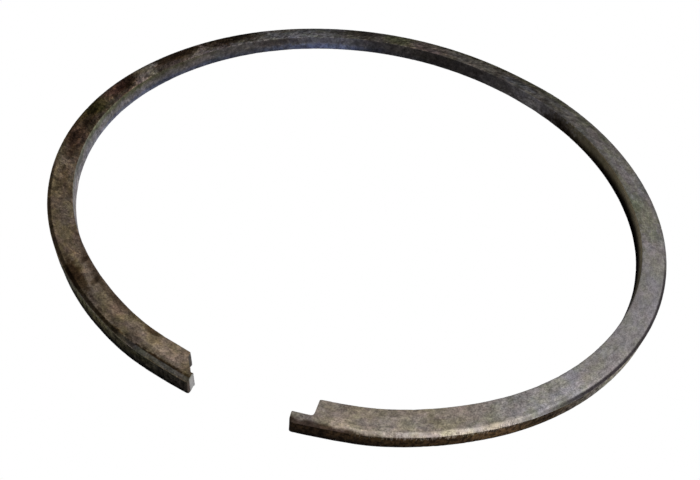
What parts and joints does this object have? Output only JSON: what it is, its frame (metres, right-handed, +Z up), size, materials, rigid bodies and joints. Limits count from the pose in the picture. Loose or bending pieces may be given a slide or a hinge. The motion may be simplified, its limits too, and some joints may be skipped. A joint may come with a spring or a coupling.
{
  "type": "piston ring",
  "caption": "Split cast-iron compression ring sprung open in an oval, with a bevelled upper edge and a notched end on each side of its gap for a locating peg.",
  "frame": {"origin": "on the plane that the ring lies on, under the middle of its outline: half-way between its sides, and half-way between its back and its ends", "axes": "+Z up, square to the ring's side faces; -Y points from the middle to the gap between the ends; +X runs across the ring's longer width"},
  "size_m": [0.0708, 0.0652, 0.002],
  "materials": {
    "ring_iron": "used bare iron, dull grey-brown, mottled and finely pitted, bright along the bevel"
  },
  "bodies": {
    "root": {"piston_ring": "ring_iron"}
  },
  "joints": []
}
